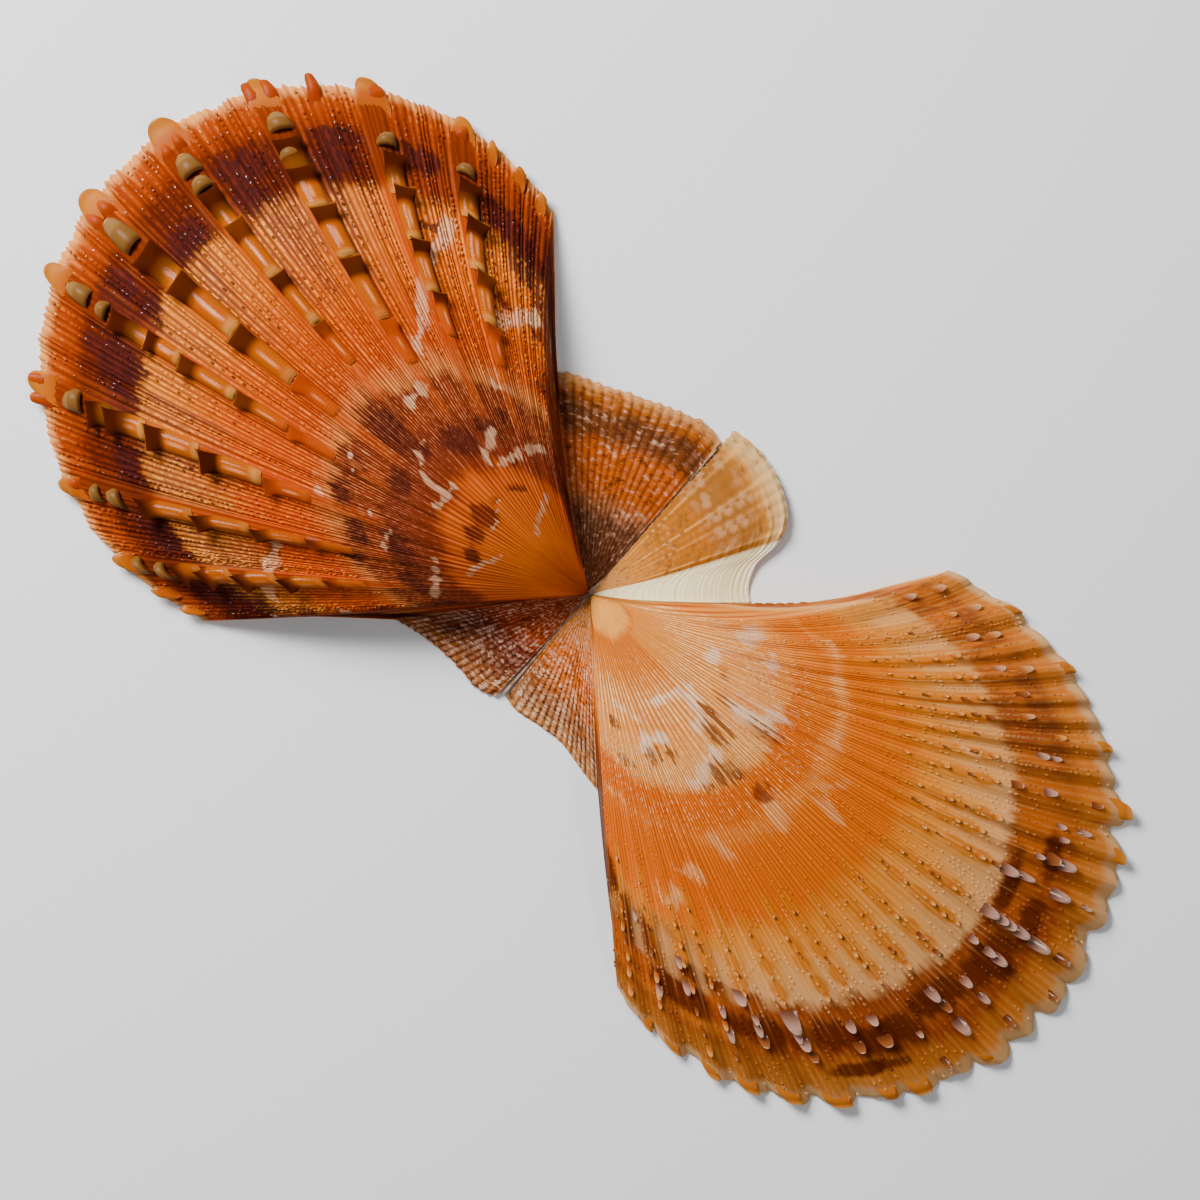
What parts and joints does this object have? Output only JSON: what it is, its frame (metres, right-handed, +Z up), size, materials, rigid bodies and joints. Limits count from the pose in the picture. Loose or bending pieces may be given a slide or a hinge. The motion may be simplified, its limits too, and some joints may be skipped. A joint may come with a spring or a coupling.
{
  "type": "scallop shell",
  "caption": "Zhikong scallop shell opened flat, both fan-shaped valves lying outer side up and hinge to hinge, with ribs, small spines and ears.",
  "frame": {"origin": "middle of the hinge, on the surface that the rims of both valves lie on", "axes": "+Z up, away from the surface; +X from the coarse-ribbed left valve to the fine-ribbed right valve; +Y along the hinge towards the larger front ears"},
  "size_m": [0.1504, 0.0683, 0.0147],
  "materials": {
    "orange_shell": "semi-gloss orange shell with maroon bands",
    "amber_shell": "semi-gloss pale orange shell with brown rings",
    "ligament_horn": "dry horny ligament"
  },
  "bodies": {
    "root": {"left_valve": "orange_shell", "right_valve": "amber_shell", "ligament": "ligament_horn"}
  },
  "joints": []
}
